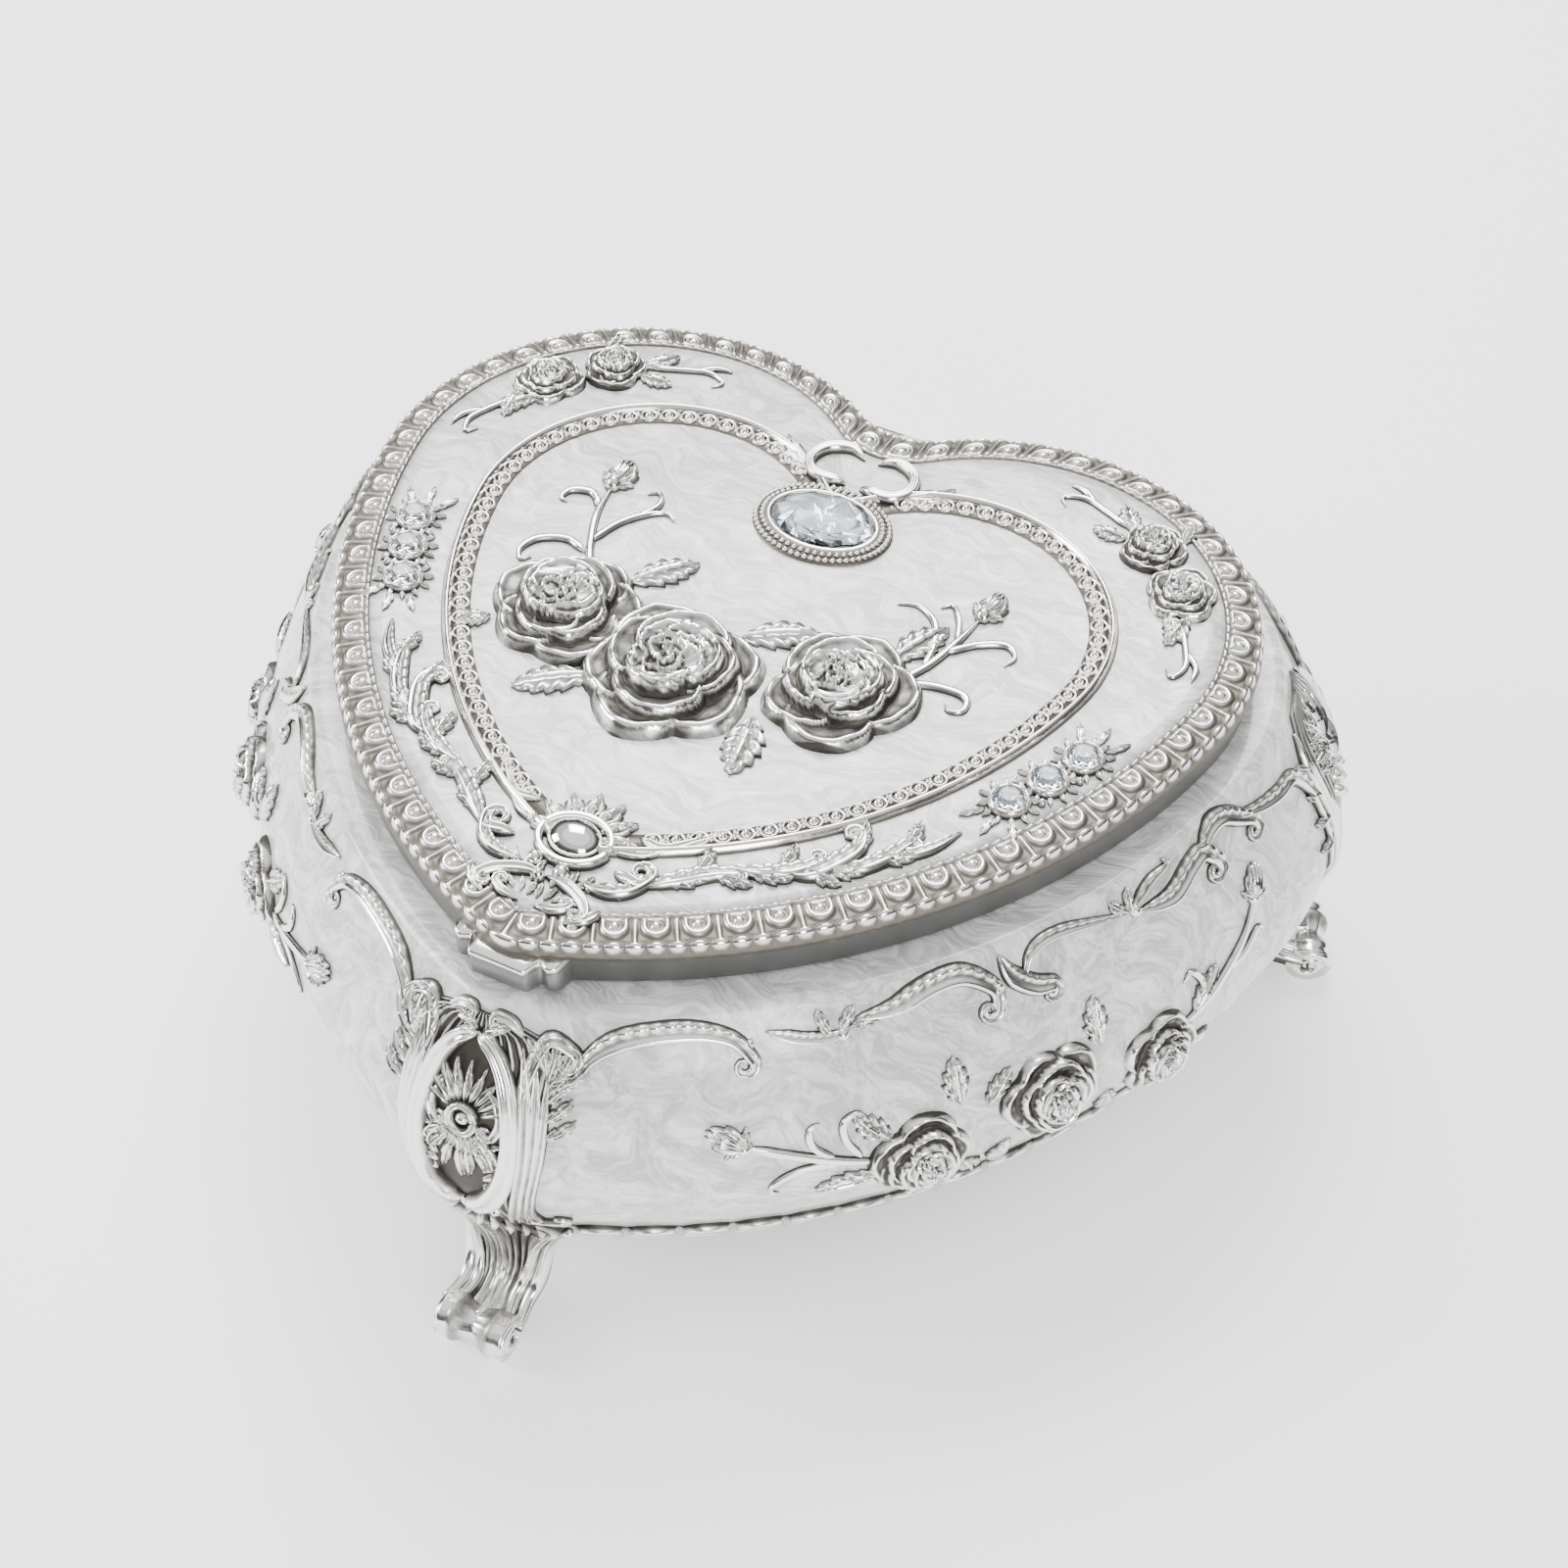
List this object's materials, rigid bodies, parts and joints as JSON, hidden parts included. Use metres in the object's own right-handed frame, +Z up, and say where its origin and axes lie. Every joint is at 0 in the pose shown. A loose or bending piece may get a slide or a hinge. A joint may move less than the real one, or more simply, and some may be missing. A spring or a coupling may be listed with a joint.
{
  "type": "wind up music box",
  "caption": "Heart-shaped wind-up music box on scroll feet, with a hinged jewelled lid, mirror, flocked tray and a comb-and-cylinder movement under it.",
  "frame": {"origin": "centre of the whole object's box, on the floor plane that the three toes stand on", "axes": "+Z up, +X to the right of the heart, -Y towards the heart's tip and the front foot, +Y towards the hinge"},
  "size_m": [0.1402, 0.1322, 0.0645],
  "materials": {
    "pearl_enamel": "pearl white enamel over a silver-plated zinc casting, gloss",
    "antique_silver": "silver plate, bright on the high points and darkened in the recesses",
    "crystal": "faceted, foil backed",
    "rhinestone": "faceted, foil backed",
    "mirror": "silvered glass",
    "flock": "flocked velvet, pale silver grey",
    "base_plate": "satin black plate",
    "steel": "satin",
    "brass": "satin",
    "cast_zinc": "as cast, zinc alloy",
    "nylon": "natural nylon"
  },
  "bodies": {
    "case": {"body_shell": "pearl_enamel", "foot_front": "antique_silver", "foot_left": "antique_silver", "foot_right": "antique_silver", "bottom_plate": "base_plate", "plate_screws": "steel", "hinge_bracket": "antique_silver", "hinge_pin": "steel", "flocked_tray": "flock", "bedplate": "cast_zinc", "movement_screws": "steel", "comb": "steel", "comb_screws": "brass", "bearing_posts": "cast_zinc", "spring_housing": "brass", "mainspring": "steel", "governor_frame": "cast_zinc", "lever_bracket": "cast_zinc"},
    "lid": {"lid_shell": "pearl_enamel", "lid_mirror": "mirror", "lid_hinge_leaf": "antique_silver", "thumb_tab": "antique_silver", "oval_crystal": "crystal", "crystal_bezel": "antique_silver", "round_stones": "rhinestone", "rose_spray": "antique_silver", "tip_cabochon": "antique_silver"},
    "cylinder": {"music_cylinder": "brass", "cylinder_shaft": "steel", "cylinder_gear": "brass"},
    "winding": {"winding_arbor": "steel", "crown_wheel": "brass", "winding_key": "brass"},
    "governor": {"governor_gear": "nylon"},
    "fly": {"governor_fly": "nylon"},
    "lever": {"stop_lever": "steel"},
    "rod": {"stop_rod": "steel"}
  },
  "joints": [
    {"name": "lid_hinge", "type": "hinge", "parent": "case", "child": "lid", "pos_m": [0, 0.05608, 0.0496], "axis": [-1, 0, 0], "range_deg": [0, 100]},
    {"name": "cylinder_spin", "type": "hinge", "parent": "case", "child": "cylinder", "pos_m": [0.0145, 0.0131, 0.0277], "axis": [1, 0, 0], "continuous": true},
    {"name": "key_wind", "type": "hinge", "parent": "case", "child": "winding", "pos_m": [-0.009, 0.0131, 0.015], "axis": [0, 0, 1], "continuous": true},
    {"name": "governor_spin", "type": "hinge", "parent": "case", "child": "governor", "pos_m": [0.028, 0.02185, 0.0277], "axis": [1, 0, 0], "continuous": true},
    {"name": "fly_spin", "type": "hinge", "parent": "case", "child": "fly", "pos_m": [0.0303, 0.02875, 0.0277], "axis": [0, 0, 1], "continuous": true},
    {"name": "lever_pivot", "type": "hinge", "parent": "case", "child": "lever", "pos_m": [0.03993, 0.02875, 0.0305], "axis": [0, -1, 0], "range_deg": [0, 17.5]},
    {"name": "rod_slide", "type": "slide", "parent": "case", "child": "rod", "axis": [0, 0, 1], "range_m": [0, 0.003]}
  ],
  "couplings": [
    {"joint": "key_wind", "follows": "cylinder_spin", "ratio": 0.33333},
    {"joint": "governor_spin", "follows": "cylinder_spin", "ratio": -4},
    {"joint": "fly_spin", "follows": "cylinder_spin", "ratio": 80},
    {"joint": "lever_pivot", "follows": "lid_hinge", "ratio": 0.17},
    {"joint": "rod_slide", "follows": "lid_hinge", "m_per_rad": 0.0017}
  ]
}
